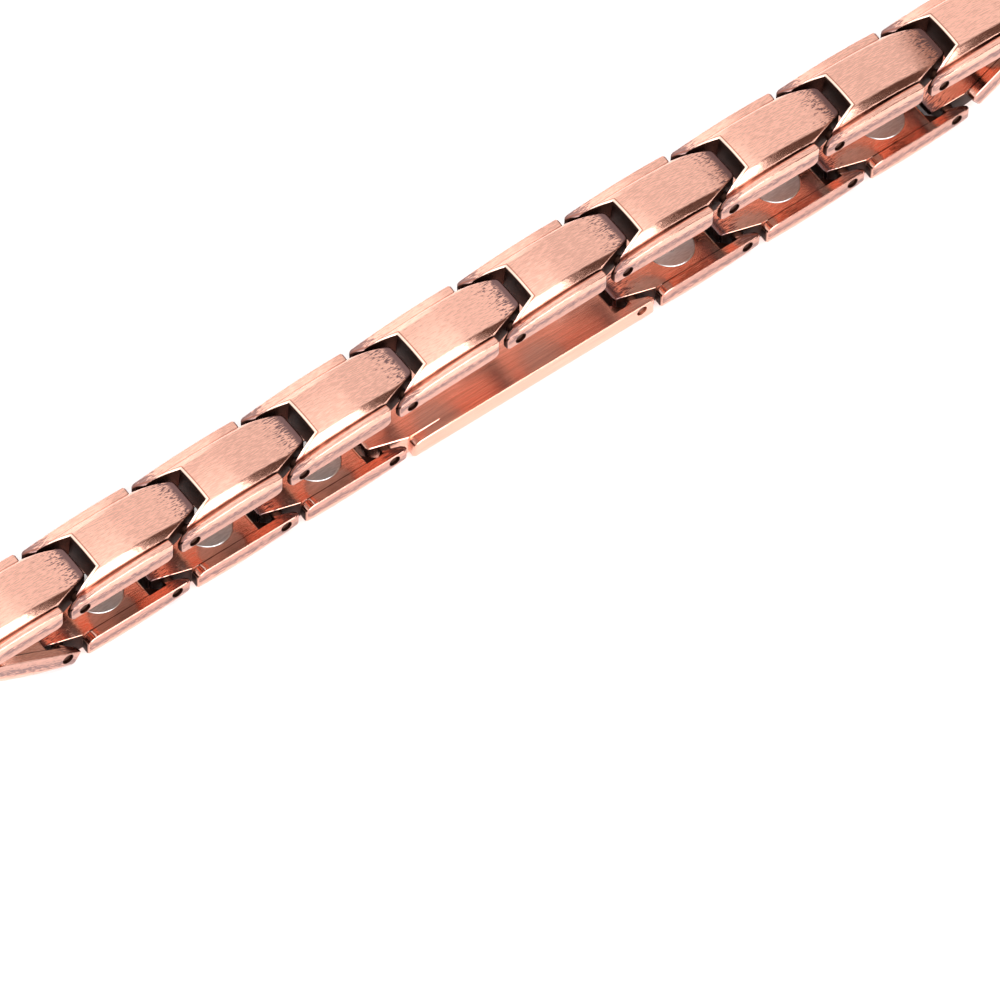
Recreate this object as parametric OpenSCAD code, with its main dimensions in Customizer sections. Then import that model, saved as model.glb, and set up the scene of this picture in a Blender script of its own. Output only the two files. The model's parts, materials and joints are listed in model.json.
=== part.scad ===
// Magnetic bracelet of arched metal links, closed and lying flattened on a table.
// Lengths are in millimetres. +X runs along the bracelet, Y across it, +Z is up.
// The origin is under the middle of the bracelet, on the surface that it lies on.

/* [Chain] */
// Distance from one pin to the next
link_pitch = 10.5; // [10:0.1:11.5]
// Clear height between the upper and the lower run of the closed loop
inner_gap = 4.45; // [4.3:0.05:4.8]
// Links on each side of the clasp in the lower run
side_links = 3; // [2:1:3]

/* [Link body] */
// Width over both rails
link_w = 6.8; // [6.6:0.1:7.4]
// Width of the raised plate between the two grooves
plate_w = 5.14; // [5:0.02:5.3]
// Height of the plate above the flat underside at its highest point
plate_top = 2.68; // [2.6:0.02:2.9]
// Radius of the plate's arch along the link
plate_arch_r = 40; // [34:1:60]
// Radius of the plate's crown across the link
crown_r = 16; // [12:1:30]
// Radius of the plate's shoulder beside each groove
shoulder_r = 1; // [0.98:0.02:1.3]
// Distance of the shoulder's centre inside the groove
shoulder_inset = 0.92; // [0.8:0.02:0.92]
// Place of the highest point, from the pin in the link's ears
arch_mid = 4.5; // [4.2:0.1:4.8]

/* [Rails] */
// Height of a rail at its crest
rail_top = 1.96; // [1.92:0.02:1.96]
// Radius of the rail's arch along the link
rail_arch_r = 42; // [40:1:46]
// Place of a rail's highest point, from the pin in the link's ears
rail_mid = 5.5; // [5.2:0.1:5.8]
// Height of the groove's bottom
groove_z = 1.84; // [1.8:0.02:1.86]
// Distance of the rail's crest inside the side face
crest_inset = 0.25; // [0.2:0.05:0.3]
// Height of the flat side face, up to where the long edge is rounded
side_h = 1.45; // [1.35:0.05:1.5]
// How far the rounded long edge reaches inwards
edge_in = 0.45; // [0.35:0.05:0.5]
// How far the rounded long edge reaches up
edge_up = 0.75; // [0.7:0.05:0.9]
// Radius of the lower corner at an ear and at the tongue
corner_r = 0.45; // [0.4:0.05:0.6]
// Radius of the lower corner where a rail ends beside the tongue
rail_end_r = 0.85; // [0.7:0.05:1]

/* [Ears and notch] */
// How far the ears reach past their pin
ear_reach = 1.4; // [1.3:0.05:1.5]
// Rounding of an ear's outer corner, seen from above
ear_round = 0.45; // [0.3:0.05:0.5]
// Radius of an ear's upper end, seen from the side
ear_top_r = 1; // [0.95:0.05:1.1]
// Distance from the pin to the end wall of the notch
notch_depth = 2.25; // [2.2:0.05:2.6]
// Distance from the pin to the foot of that wall, which leans back
notch_foot = 2.05; // [2:0.05:2.2]
// Width of the notch at its end wall
notch_in_w = 3.36; // [3.3:0.02:3.5]
// Width of the notch where it passes the pin
notch_pin_w = 4.92; // [4.9:0.02:5.2]

/* [Tongue] */
// How far the tongue reaches past its pin
tongue_reach = 1.4; // [1.2:0.01:1.4]
// Distance from the end of the rails to the pin in the tongue
rail_gap = 1.95; // [1.9:0.05:2.2]
// Width of the tongue at its end
tongue_w = 3.14; // [3:0.02:3.2]
// Rounding of the tongue's corners, seen from above
tongue_round = 0.5; // [0.3:0.05:0.7]

/* [Pins] */
// Height of the pin above the flat underside
pin_h = 0.6; // [0.58:0.01:0.65]
// Diameter of the bore through the ears and the tongue
bore_d = 0.96; // [0.84:0.02:0.98]
// Clearance of a pin in its bore, all round
pin_clear = 0.03; // [0.02:0.01:0.05]
// How far a pin's end lies below the side face
pin_recess = 0.2; // [0.1:0.05:0.3]

/* [Magnets] */
// Diameter of a magnet
magnet_d = 4; // [3:0.1:4.2]
// Thickness of a magnet
magnet_t = 1; // [0.8:0.1:1.2]
// Distance of the magnet's centre from the pin in the ears
magnet_x = 5.2; // [4.8:0.1:5.6]
// Clearance of a magnet in its pocket
magnet_clear = 0.05; // [0.03:0.01:0.1]

/* [Hidden] */
$fn = 180;
// Slope of each link of the upper run in degrees, as it lies, from left to right
run_tilts = [0.5, 0.5, 0.5, 2.1, 2.2, 1.1, -1.0, -0.8, -2.4, -2.4];
// Straight pieces that stand for each rounded corner, for the crown and for the bar's round edge
corner_steps = 4;
crown_steps = 7;
edge_steps = 6;
// Angle at which the rounded end of an ear leaves upwards into the rail's top
ear_leave = 20;
// Room under the ears for the tongue of a link that is folded back: its clearance below and
// beside that tongue, and its border towards the pin, which starts at relief_x and leans
relief_clear = 0.1;
relief_side = 0.08;
relief_x = 0.5;
relief_lean = 15;
// How far cutting shapes run past what they cut
past = 1;
metal = [0.85, 0.56, 0.47];
pin_metal = [0.72, 0.5, 0.43];
magnet_metal = [0.62, 0.62, 0.64];

run_links = len(run_tilts);
clasp_at = run_links + 1 + side_links;
piece_count = clasp_at + side_links + 2;

plate_hw = plate_w / 2;
link_hw = link_w / 2;
bore_r = bore_d / 2;

function total(v, i = 0) = i < len(v) ? v[i] + total(v, i + 1) : 0;
function digits(n) = n < 10 ? str("0", n) : str(n);

// Closing the loop: one link at each end folds back under, down to the lower run
run_dx = link_pitch * total([for (t = run_tilts) cos(t)]);
run_dz = link_pitch * total([for (t = run_tilts) sin(t)]);
run_drop = inner_gap + 2 * pin_h;
fold_left = asin(run_drop / link_pitch);
fold_right = asin((run_drop + run_dz) / link_pitch);
lower_len = run_dx - link_pitch * (cos(fold_left) + cos(fold_right));
clasp_len = lower_len - 2 * side_links * link_pitch;

// How far the bracelet reaches past its first and last upper pins
tip_drop = pow(link_pitch + tongue_reach - arch_mid, 2) / (2 * plate_arch_r);
tip_h = plate_top - tip_drop - pin_h;
ear_drop = pow(rail_mid + ear_reach, 2) / (2 * rail_arch_r);
ear_h = rail_top - ear_drop - pin_h;
left_reach = tongue_reach * cos(fold_left) + tip_h * sin(fold_left);
right_reach = ear_reach * cos(fold_right) + ear_h * sin(fold_right);
first_x = (left_reach - right_reach - run_dx) / 2;
first_z = plate_top - pin_h + run_drop;

// Chain: length, direction and first pin of each piece, counted from the upper run's left end
function piece_len(i) = i == clasp_at ? clasp_len : link_pitch;
function heading(i) = i < run_links ? run_tilts[i]
    : i == run_links ? fold_right - 180
    : i < piece_count - 1 ? 180 : 180 - fold_left;
function pin_x(i) = i == 0 ? first_x : pin_x(i - 1) + piece_len(i - 1) * cos(heading(i - 1));
function pin_z(i) = i == 0 ? first_z : pin_z(i - 1) + piece_len(i - 1) * sin(heading(i - 1));

link_places = [for (i = [0 : piece_count - 1]) if (i != clasp_at) i];
link_names = [for (n = [1 : len(link_places)]) str("link_", digits(n))];
magnet_names = [for (n = [1 : len(link_places)]) str("magnet_", digits(n))];
pin_names = [for (n = [1 : piece_count]) str("pin_", digits(n))];

function arc(cx, cy, r, from, to, steps) =
    [for (k = [0 : steps]) let (a = from + (to - from) * k / steps) [cx + r * cos(a), cy + r * sin(a)]];
function mirrored(points) = [for (k = [len(points) - 1 : -1 : 0]) [-points[k][0], points[k][1]]];

// Cross-sections at the highest point, as [across, height] from the side inwards
shoulder_y = plate_hw - shoulder_inset;
shoulder_turn = asin(shoulder_y / (crown_r - shoulder_r));
shoulder_z = plate_top - crown_r + (crown_r - shoulder_r) * cos(shoulder_turn);
shoulder_start = acos(shoulder_inset / shoulder_r);
plate_half = concat(
    [[plate_hw, -past]],
    arc(shoulder_y, shoulder_z, shoulder_r, shoulder_start, 90 - shoulder_turn, corner_steps));
plate_section = concat(
    plate_half,
    arc(0, plate_top - crown_r, crown_r, 90 - shoulder_turn, 90 + shoulder_turn, crown_steps),
    mirrored(plate_half));
clasp_half = concat(
    [[plate_hw, -past]],
    arc(shoulder_y, plate_top - shoulder_r, shoulder_r, shoulder_start, 90, corner_steps));
clasp_section = concat(clasp_half, mirrored(clasp_half));
rail_half = [
    [link_hw + past, -past],
    [link_hw + past, rail_top],
    [link_hw - crest_inset, rail_top],
    [plate_hw, groove_z]];
rail_section = concat(rail_half, mirrored(rail_half));
// The bar that a piece is made from: its side faces and its rounded long edges
bar_half = concat(
    [[link_hw, -past]],
    [for (k = [0 : edge_steps]) let (a = 90 * k / edge_steps)
        [link_hw - edge_in * (1 - cos(a)), side_h + edge_up * sin(a)]],
    [[link_hw - edge_in, plate_top + past]]);
bar_section = concat(bar_half, mirrored(bar_half));

// A cross-section turned about a level axis far below, so that its top is arched along X
module arched(section, top, middle, radius) {
    axis_z = top - radius;
    reach = link_pitch + tongue_reach + past - middle;
    half_turn = asin(reach / (radius - top - past));
    translate([middle, 0, axis_z])
        rotate([90, 0, 0])
            rotate([0, 0, 90 - half_turn])
                rotate_extrude(angle = 2 * half_turn)
                    polygon([for (p = section) [p[1] - axis_z, p[0]]]);
}

// A side view, from x0 to x1 and up from the flat underside, run across the whole width.
// Its left end is given from the top down to where the lower corner starts.
module side_view(left_end, x0, x1, r1) {
    rotate([90, 0, 0])
        linear_extrude(height = link_w + 2 * past, center = true)
            polygon(concat(
                [[x1, plate_top + past]],
                left_end,
                arc(x0 + corner_r, corner_r, corner_r, 180, 270, corner_steps),
                arc(x1 - r1, r1, r1, 270, 360, corner_steps)));
}

// The ear's end in a side view: straight up, or rounded from a level line at the pin's height
straight_end = [[-ear_reach, plate_top + past]];
ear_arc = arc(ear_top_r - ear_reach, pin_h, ear_top_r, 90 + ear_leave, 180, corner_steps);
ear_leave_at = ear_arc[0] + ear_top_r / 2 * [cos(ear_leave), sin(ear_leave)];
rounded_end = concat([[ear_leave_at[0], plate_top + past], ear_leave_at], ear_arc);

// The same cross-section run straight along X, over a given length past the ears
module straight(section, length) {
    translate([-ear_reach - past, 0, 0])
        rotate([90, 0, 90])
            linear_extrude(height = length + ear_reach + tongue_reach + 2 * past)
                polygon(section);
}

// The rails and the floor between them, shaped by the child that gives the top
module rail_body(length, left_end) {
    x1 = length - rail_gap;
    corner = arc(ear_round - ear_reach, link_hw - ear_round, ear_round, 90, 180, corner_steps);
    intersection() {
        children();
        straight(bar_section, length);
        side_view(left_end, -ear_reach, x1, rail_end_r);
        translate([0, 0, -past])
            linear_extrude(height = plate_top + 2 * past)
                polygon(concat(
                    [[x1 + past, link_hw + past], [ear_round - ear_reach, link_hw + past]],
                    corner,
                    [for (k = [corner_steps : -1 : 0]) [corner[k][0], -corner[k][1]]],
                    [[ear_round - ear_reach, -link_hw - past], [x1 + past, -link_hw - past]]));
    }
}

// The raised plate, which narrows to the tongue past the end of the rails
module plate_body(length) {
    x_rail = length - rail_gap;
    x_tip = length + tongue_reach;
    slope = atan2(plate_hw - tongue_w / 2, x_tip - x_rail);
    round_x = x_tip - tongue_round;
    round_y = tongue_w / 2 - tongue_round * tan(45 - slope / 2);
    half_plan = concat(
        [[-ear_reach, plate_hw], [x_rail, plate_hw]],
        arc(round_x, round_y, tongue_round, 90 - slope, 0, corner_steps));
    intersection() {
        children();
        side_view(straight_end, -ear_reach, x_tip, corner_r);
        translate([0, 0, -past])
            linear_extrude(height = plate_top + 2 * past)
                polygon(concat(half_plan,
                    [for (k = [len(half_plan) - 1 : -1 : 0]) [half_plan[k][0], -half_plan[k][1]]]));
    }
}

// What is cut away between the ears
module notch() {
    flare = (notch_pin_w - notch_in_w) / (2 * notch_depth);
    x_out = -ear_reach - past;
    out_hw = notch_in_w / 2 + flare * (notch_depth - x_out);
    x_in = notch_depth + past;
    in_hw = notch_in_w / 2 - flare * past;
    lean = (notch_depth - notch_foot) / plate_top;
    intersection() {
        translate([0, 0, -past])
            linear_extrude(height = plate_top + 2 * past)
                polygon([[x_in, in_hw], [x_out, out_hw], [x_out, -out_hw], [x_in, -in_hw]]);
        rotate([90, 0, 0])
            linear_extrude(height = link_w + 2 * past, center = true)
                polygon([[x_out - past, -2 * past], [notch_foot - 2 * past * lean, -2 * past],
                         [notch_depth + 2 * past * lean, plate_top + 2 * past],
                         [x_out - past, plate_top + 2 * past]]);
    }
}

// What is cut away under the ears, along the underside of the link that is folded back there
module fold_relief() {
    turn = fold_left + run_tilts[0];
    offset_z = pin_h + relief_clear + pin_h * cos(turn);
    top_z = (offset_z - relief_x * sin(turn)) / (cos(turn) + tan(relief_lean) * sin(turn));
    rotate([90, 0, 0])
        linear_extrude(height = plate_w + 2 * relief_side, center = true)
            polygon([[relief_x - past * tan(relief_lean), -past],
                     [(offset_z + past * cos(turn)) / sin(turn), -past],
                     [relief_x + top_z * tan(relief_lean), top_z]]);
}

module bore(x) {
    translate([x, 0, pin_h])
        rotate([90, 0, 0])
            cylinder(r = bore_r, h = link_w + 2 * past, center = true);
}

// One piece of the chain, its first pin over x = 0 and its flat underside on z = 0.
// The first child is the run of the rails' cross-section, the second that of the plate's.
module chain_piece(length, left_end) {
    difference() {
        union() {
            rail_body(length, left_end) children(0);
            plate_body(length) children(1);
        }
        notch();
        fold_relief();
        bore(0);
        bore(length);
    }
}

// A link: notch and ears at one end, tongue at the other, a blind pocket below
module link() {
    color(metal)
        difference() {
            chain_piece(link_pitch, rounded_end) {
                arched(rail_section, rail_top, rail_mid, rail_arch_r);
                arched(plate_section, plate_top, arch_mid, plate_arch_r);
            }
            translate([magnet_x, 0, -past])
                cylinder(d = magnet_d + 2 * magnet_clear, h = magnet_t + magnet_clear + past);
        }
}

// The clasp: one plain long piece with a flat face, which joins the chain like a link
module clasp() {
    color(metal)
        chain_piece(clasp_len, straight_end) {
            straight(rail_section, clasp_len);
            straight(clasp_section, clasp_len);
        }
}

module pin() {
    color(pin_metal)
        translate([0, 0, pin_h])
            rotate([90, 0, 0])
                cylinder(r = bore_r - pin_clear, h = link_w - 2 * pin_recess, center = true);
}

module magnet() {
    color(magnet_metal)
        translate([magnet_x, 0, 0])
            cylinder(d = magnet_d, h = magnet_t);
}

// Puts a piece modelled on z = 0 at its place in the closed chain
module placed(i) {
    translate([pin_x(i), 0, pin_z(i)])
        rotate([0, -heading(i), 0])
            translate([0, 0, -pin_h])
                children();
}

for (n = [0 : len(link_places) - 1]) {
    placed(link_places[n]) link();
    placed(link_places[n]) magnet();
}
for (n = [0 : piece_count - 1])
    placed(n) pin();
placed(clasp_at) clasp();
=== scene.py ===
# %% [markdown]
# # A magnetic link bracelet
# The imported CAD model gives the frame: every link, pin, magnet and the clasp at its real place.
# This lesson dresses it. Each kind of piece is modelled once, with rounded edges and a smooth arch,
# and is then repeated along the chain. The finishes are built from nodes at the end.

# %% Load the frame
import json
import math

import bmesh
import bpy
from mathutils import Matrix, Vector

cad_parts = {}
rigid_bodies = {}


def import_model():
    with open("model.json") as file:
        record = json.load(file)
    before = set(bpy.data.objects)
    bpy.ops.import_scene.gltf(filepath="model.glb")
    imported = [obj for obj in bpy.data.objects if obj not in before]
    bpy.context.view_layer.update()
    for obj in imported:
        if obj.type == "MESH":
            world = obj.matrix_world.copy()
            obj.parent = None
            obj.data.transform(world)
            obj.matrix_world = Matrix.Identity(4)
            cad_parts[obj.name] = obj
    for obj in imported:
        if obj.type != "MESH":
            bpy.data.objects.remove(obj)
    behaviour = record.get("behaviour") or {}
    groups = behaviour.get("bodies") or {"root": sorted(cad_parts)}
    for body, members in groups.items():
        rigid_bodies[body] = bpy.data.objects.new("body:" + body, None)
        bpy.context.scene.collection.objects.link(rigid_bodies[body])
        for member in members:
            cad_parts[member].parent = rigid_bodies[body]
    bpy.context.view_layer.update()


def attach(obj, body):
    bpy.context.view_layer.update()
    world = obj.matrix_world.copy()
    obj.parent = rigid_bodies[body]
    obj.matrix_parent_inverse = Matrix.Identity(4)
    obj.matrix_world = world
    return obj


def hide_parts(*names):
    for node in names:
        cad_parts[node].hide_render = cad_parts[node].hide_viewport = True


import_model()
MM = 0.001

# %% [markdown]
# ## The chain
# A closed bracelet is a ring of equal steps: from each pin to the next, at some heading. Ten links
# lie in the upper run, one folds back under at each end, and six links and the clasp make the lower
# run. The headings are the same as in the CAD source, so every piece lands where the solid is.

# %% Chain sizes, in millimetres
PITCH = 10.5
INNER_GAP = 4.45
SIDE_LINKS = 3
PIN_H = 0.6
PLATE_TOP = 2.68
RUN_TILTS = [0.5, 0.5, 0.5, 2.1, 2.2, 1.1, -1.0, -0.8, -2.4, -2.4]
TONGUE_REACH = 1.4
EAR_REACH = 1.4
ARCH_MID = 4.5
PLATE_ARCH_R = 40.0
RAIL_MID = 5.5
RAIL_ARCH_R = 42.0
RAIL_TOP = 1.96
CLASP_AT = len(RUN_TILTS) + 1 + SIDE_LINKS


def chain_steps():
    """First pin, heading in degrees and length of each piece of the ring, from the upper left."""
    run_dx = PITCH * sum(math.cos(math.radians(t)) for t in RUN_TILTS)
    run_dz = PITCH * sum(math.sin(math.radians(t)) for t in RUN_TILTS)
    run_drop = INNER_GAP + 2 * PIN_H
    left = math.asin(run_drop / PITCH)
    right = math.asin((run_drop + run_dz) / PITCH)
    clasp = run_dx - PITCH * (math.cos(left) + math.cos(right)) - 2 * SIDE_LINKS * PITCH

    # the folded ends reach a little past the pins, so the whole ring is moved to lie about x = 0
    tip_h = PLATE_TOP - (PITCH + TONGUE_REACH - ARCH_MID) ** 2 / (2 * PLATE_ARCH_R) - PIN_H
    ear_h = RAIL_TOP - (RAIL_MID + EAR_REACH) ** 2 / (2 * RAIL_ARCH_R) - PIN_H
    reach_left = TONGUE_REACH * math.cos(left) + tip_h * math.sin(left)
    reach_right = EAR_REACH * math.cos(right) + ear_h * math.sin(right)
    x, z = (reach_left - reach_right - run_dx) / 2, PLATE_TOP - PIN_H + run_drop

    fold_left, fold_right = math.degrees(left), math.degrees(right)
    headings = RUN_TILTS + [fold_right - 180] + [180] * (2 * SIDE_LINKS + 1) + [180 - fold_left]
    steps = []
    for i, heading in enumerate(headings):
        length = clasp if i == CLASP_AT else PITCH
        steps.append({"pin": (x, z), "heading": heading, "length": length})
        x += length * math.cos(math.radians(heading))
        z += length * math.sin(math.radians(heading))
    return steps


STEPS = chain_steps()
LINK_STEPS = STEPS[:CLASP_AT] + STEPS[CLASP_AT + 1:]
CLASP_LENGTH = STEPS[CLASP_AT]["length"]
print("links:", len(LINK_STEPS), "clasp length, mm:", round(CLASP_LENGTH, 3))

# %% [markdown]
# ## The outline of a link, seen from above
# Each line across the link runs from one edge to the other: from the notch or the ear's tip to the
# tongue or the end of the rail. Two small functions give those edges, also a little way inside
# them, so that the edge can be rounded later with rings that follow it.

# %% Outline sizes and functions
# HW is half a width, and a place along the link is measured from its first pin
LINK_HW = 3.4
PLATE_HW = 2.57
EAR_ROUND = 0.45
NOTCH_DEPTH = 2.25
NOTCH_FOOT = 2.05
NOTCH_IN_HW = 1.68
NOTCH_PIN_HW = 2.46
NOTCH_FLARE = (NOTCH_PIN_HW - NOTCH_IN_HW) / NOTCH_DEPTH
RAIL_GAP = 1.95
TONGUE_HW = 1.57
TONGUE_ROUND = 0.5
TONGUE_SLOPE = (PLATE_HW - TONGUE_HW) / (TONGUE_REACH + RAIL_GAP)
# round outer corner at the end of a rail, seen from above
POST_R = 0.35


def left_edge(y, inset=0.0, wall=NOTCH_DEPTH):
    """Where a line across the link, at y from its middle, starts: at the notch or the ear's tip."""
    y = abs(y)
    flank = NOTCH_DEPTH - (y - NOTCH_IN_HW - inset * math.hypot(1, NOTCH_FLARE)) / NOTCH_FLARE
    past = max(0.0, y - (LINK_HW - EAR_ROUND))
    tip = EAR_ROUND - EAR_REACH - math.sqrt(max(EAR_ROUND**2 - past**2, 0.0)) + inset
    return max(min(wall + inset, flank), tip)


def right_edge(y, length, inset=0.0):
    """Where that line ends: at the tongue, or at the end of the rail."""
    y = abs(y)
    rail_x, tip_x = length - RAIL_GAP, length + TONGUE_REACH
    turn = math.atan(TONGUE_SLOPE)
    middle_y = TONGUE_HW - TONGUE_ROUND * math.tan(math.radians(45) - turn / 2)
    r = TONGUE_ROUND - inset
    if y <= middle_y:
        edge = tip_x - inset
    elif y <= middle_y + max(r, 0.0) * math.cos(turn):
        edge = tip_x - TONGUE_ROUND + math.sqrt(max(r**2 - (y - middle_y) ** 2, 0.0))
    else:
        edge = rail_x + (PLATE_HW - y - inset * math.hypot(1, TONGUE_SLOPE)) / TONGUE_SLOPE
    past = max(0.0, y - (LINK_HW - POST_R))
    rail = rail_x - inset - POST_R + math.sqrt(max(POST_R**2 - past**2, 0.0))
    return max(edge, rail)


print("notch wall and tongue tip, mm:", left_edge(0), right_edge(0, PITCH))

# %% [markdown]
# ## The height of the plate
# Across the link the top is a shallow crown, a round shoulder, a sharp groove and a rail with a
# round outer edge. Lengthwise all of it is arched: the plate in a long arc, the rails in another.
# So the height is one formula, and a grid of points that follows the outline is enough to build
# the top. A boolean of plain solids would give the same shape, but with faceted arches.

# %% Plate and ear heights
CROWN_R = 16.0
SHOULDER_R = 1.0
SHOULDER_INSET = 0.92
SHOULDER_Y = PLATE_HW - SHOULDER_INSET
SHOULDER_TURN = math.asin(SHOULDER_Y / (CROWN_R - SHOULDER_R))
EAR_TOP_R = 1.0


def arched(height, x, top, middle, radius):
    """A height at the top of an arch, carried along the arch to x."""
    axis = top - radius
    return axis + math.sqrt((height - axis) ** 2 - (x - middle) ** 2)


def plate_height(x, y, crowned):
    """Height of the plate: a crown across the link, then a round shoulder."""
    y = abs(y)
    turn = SHOULDER_TURN if crowned else 0.0
    crown = CROWN_R if crowned else SHOULDER_R
    centre_z = PLATE_TOP - crown + (crown - SHOULDER_R) * math.cos(turn)
    if y > SHOULDER_Y + SHOULDER_R * math.sin(turn):
        height = centre_z + math.sqrt(SHOULDER_R**2 - (y - SHOULDER_Y) ** 2)
    else:
        height = PLATE_TOP - CROWN_R + math.sqrt(CROWN_R**2 - y**2) if crowned else PLATE_TOP
    return arched(height, x, PLATE_TOP, ARCH_MID, PLATE_ARCH_R) if crowned else height


def ear_height(x):
    """Height of the rounded end of an ear, which limits all heights near it."""
    along = min(x + EAR_REACH, EAR_TOP_R)
    rounded = PIN_H + math.sqrt(max(EAR_TOP_R**2 - (EAR_TOP_R - along) ** 2, 0.0))
    return rounded if along < EAR_TOP_R else PLATE_TOP


print("plate at its middle and at the groove, mm:",
      [round(plate_height(ARCH_MID, y, True), 2) for y in (0, PLATE_HW)])

# %% [markdown]
# ## The rails
# Beside the groove each rail has a narrow milled top. Its long outer edge is rounded on the real
# link, and that soft edge meets the top in a crease. The edge follows an arch of its own, which is
# why the side face is taller in the middle of a link than at its ends.

# %% Rail heights
GROOVE_Z = 1.84
CREST_Y = 3.15
SIDE_H = 1.45
EDGE_IN = 0.45
EDGE_UP = 0.75
EDGE_ARCH_R = 45.0
# the rounded edge is at least this tall, so that the side face never reaches the milled top
EDGE_LEAST = 0.1


def rail_height(x, y, crowned):
    """Height of the milled top of the rail, from the groove up to its crest and level beyond."""
    rise = min(1.0, (abs(y) - PLATE_HW) / (CREST_Y - PLATE_HW))
    height = GROOVE_Z + (RAIL_TOP - GROOVE_Z) * rise
    return arched(height, x, RAIL_TOP, RAIL_MID, RAIL_ARCH_R) if crowned else height


def side_height(x, crowned):
    """Height of the flat side face, up to where the rail's long edge is rounded."""
    side = arched(SIDE_H, x, RAIL_TOP, RAIL_MID, EDGE_ARCH_R) if crowned else SIDE_H
    return min(side, rail_height(x, LINK_HW, crowned) - EDGE_LEAST)


def edge_point(x, angle, crowned):
    """Place across and height on the rail's rounded long edge, at an angle up from the side face."""
    height = side_height(x, crowned) + EDGE_UP * math.sin(angle)
    return (LINK_HW - EDGE_IN * (1 - math.cos(angle)), height)


def crease_angle(x, crowned):
    """Angle at which the rounded edge meets the milled top."""
    rise = rail_height(x, LINK_HW, crowned) - side_height(x, crowned)
    return math.asin(min(1.0, rise / EDGE_UP))


print("rail's crease at its middle, degrees:", round(math.degrees(crease_angle(RAIL_MID, True)), 1))

# %% [markdown]
# ## Points of the top
# The top is a grid. Its lines lie closer together where the cross-section turns, over the shoulder
# and round the long edge. Close to the outline the points drop along a quarter circle: that is the
# small rounded rim which catches the light on the real link.

# %% Lines and points of the top
EDGE_R = 0.13
CREASE_R = 0.06
CREASE_SHARE = 0.2
CROWN_LINES = [0.0, 0.42, 0.84, 1.12, 1.26, 1.4, 1.5, 1.6, 1.68]
SHOULDER_LINES = [1.82, 1.92, 2.02, 2.11, 2.2, 2.28, 2.35, 2.415, 2.47, 2.515, 2.55, PLATE_HW]
RAIL_LINES = [PLATE_HW + 0.012, 2.64, 2.78, 2.92, CREST_Y]
# shares of the long edge: inside the crease, on it, then down to the side face
EDGE_SHARES = (-1.0, 0.0, CREASE_SHARE, 0.45, 0.72, 1.0)
EDGE_SPREAD = 0.12
HAIR = 1e-6


def rows_across():
    """The lines across the link, as (place, share of the long edge)."""
    tangent = SHOULDER_Y + SHOULDER_R * math.sin(SHOULDER_TURN)
    lines = [(y, None) for y in CROWN_LINES + [tangent] + SHOULDER_LINES + RAIL_LINES]
    lines += [(LINK_HW - EDGE_SPREAD * (1 - max(share, 0.0)) ** 2, share) for share in EDGE_SHARES]
    return [(-y, share) for y, share in reversed(lines[1:])] + lines


def long_edge_point(x, share, crowned):
    """Place across and height of a point on the long edge, with the crease a little rounded."""
    crease = crease_angle(x, crowned)
    corner = edge_point(x, crease, crowned)
    inside = (corner[0] - CREASE_R, rail_height(x, LINK_HW, crowned))
    if share < 0:
        return inside
    if share > 0:
        return edge_point(x, crease * (1 - share), crowned)
    outside = edge_point(x, crease * (1 - CREASE_SHARE), crowned)
    return [(i + 2 * c + o) / 4 for i, c, o in zip(inside, corner, outside)]


def top_point(x, line, inset, crowned):
    """A point of the top on one of the lines, lowered near the outline by the rounded rim."""
    y, share = line
    if share is None:
        on_plate = abs(y) <= PLATE_HW + HAIR
        across, height = y, (plate_height if on_plate else rail_height)(x, y, crowned)
    else:
        across, height = long_edge_point(x, share, crowned)
        across = math.copysign(across, y)
    if inset < EDGE_R:
        height -= EDGE_R - math.sqrt(EDGE_R**2 - (EDGE_R - inset) ** 2)
    return Vector((x, across, min(height, ear_height(x)) if crowned else height))


print("lines across a link:", len(rows_across()))

# %% [markdown]
# ## The underside
# The underside is out of sight in the photo. Here it is flat, since it lies on the wrist, with a
# rounded lower corner at each end so that neighbours can turn. Each point lies below one of the top.

# %% Points of the underside
FOOT_R = 0.06
CORNER_R = 0.45
RAIL_END_R = 0.85


def foot_height(x, y, length):
    """Height of the underside: flat, with a rounded corner at each end."""
    end = length - RAIL_GAP if abs(y) > PLATE_HW else length + TONGUE_REACH
    at_end = end - x < x + EAR_REACH
    radius = RAIL_END_R if at_end and abs(y) > PLATE_HW else CORNER_R
    near = min(x + EAR_REACH, end - x)
    if near >= radius:
        return 0.0
    return radius - math.sqrt(max(radius**2 - (radius - near) ** 2, 0.0))


def foot_points(line, y, length):
    """The points of the underside below one line of the top."""
    low_y = y * (LINK_HW - FOOT_R) / LINK_HW
    start, end = line[0][0], line[-1][0]
    low_start, low_end = left_edge(low_y, FOOT_R, NOTCH_FOOT), right_edge(low_y, length, FOOT_R)
    points = []
    for x, _ in line:
        low_x = low_start + (low_end - low_start) * (x - start) / (end - start)
        points.append((low_x, low_y, foot_height(low_x, low_y, length)))
    return points


print("lower corner at the ear's tip, mm:", foot_height(-EAR_REACH, LINK_HW, PITCH))

# %% [markdown]
# ## The closed body
# The grid of the top is doubled by the grid of the underside, and a wall joins their borders, so
# the mesh is closed from the start. The same function makes a link and the longer, plain clasp.

# %% Build the bodies
# how far inside the outline the rings lie, closest where the rim is rounded
RINGS = [0.0, 0.012, 0.038, 0.078, EDGE_R, 0.2, 0.34]
PAST_RIM = 1.0
LINK_SPANS = 27
CLASP_SPANS = 8


def places_along(y, length, spans):
    """Place and inset of each point on a line across the link, closer together at its ends."""
    start, end = left_edge(y, RINGS[-1]), right_edge(y, length, RINGS[-1])
    line = [(left_edge(y, r), r) for r in RINGS]
    line += [(start + (end - start) * k / spans, PAST_RIM) for k in range(1, spans)]
    return line + [(right_edge(y, length, r), r) for r in reversed(RINGS)]


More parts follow.
